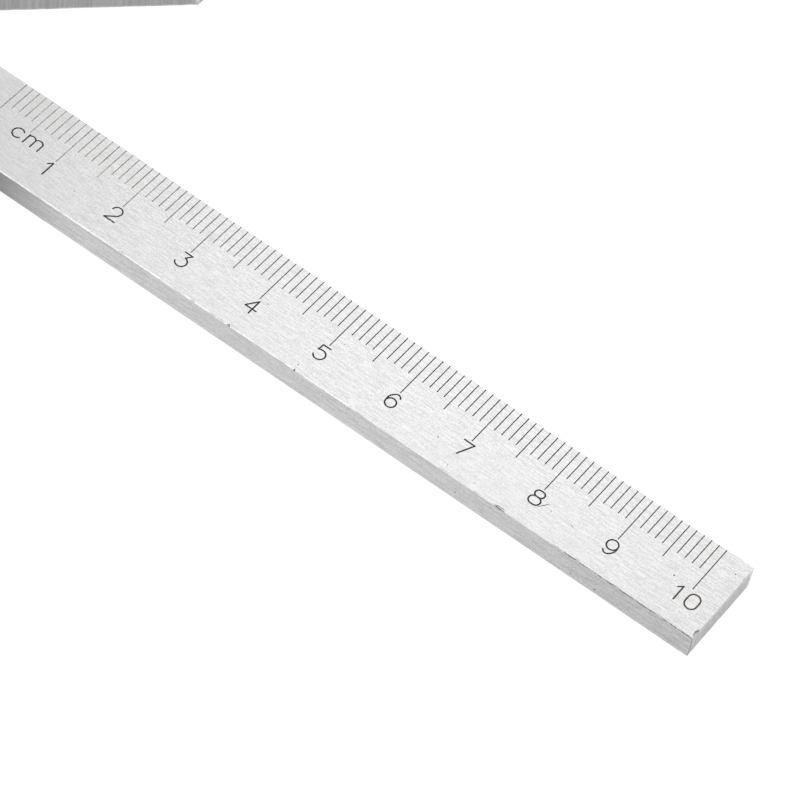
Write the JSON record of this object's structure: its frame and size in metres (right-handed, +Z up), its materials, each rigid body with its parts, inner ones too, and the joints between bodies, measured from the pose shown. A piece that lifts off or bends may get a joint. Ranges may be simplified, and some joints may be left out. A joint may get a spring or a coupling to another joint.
{
  "type": "steel centre square with a graduated blade",
  "caption": "Steel centre square: a right-angled V head carries a graduated blade whose scale edge halves the angle, for marking diameters on round stock.",
  "frame": {"origin": "bottom centre of the whole tool: on the head's underside, on the line of the blade's scale edge, half way from the head's apex to the blade's free end", "axes": "+X along the blade towards its free end, +Y towards the head arm that doesn't carry the blade, +Z up out of the graduated face"},
  "size_m": [0.153, 0.099, 0.0135],
  "materials": {
    "head_steel": "ground across the sides",
    "blade_steel": "fine satin, brushed lengthwise",
    "mark_fill": "matt dark fill",
    "screw_steel": "turned, plain",
    "pin_steel": "ground flush"
  },
  "bodies": {
    "root": {"v_head": "head_steel", "blade": "blade_steel", "scale_fill": "mark_fill", "screw_apex_end": "screw_steel", "screw_tip_end": "screw_steel", "dowel_pin_outer": "pin_steel", "dowel_pin_inner": "pin_steel"}
  },
  "joints": []
}
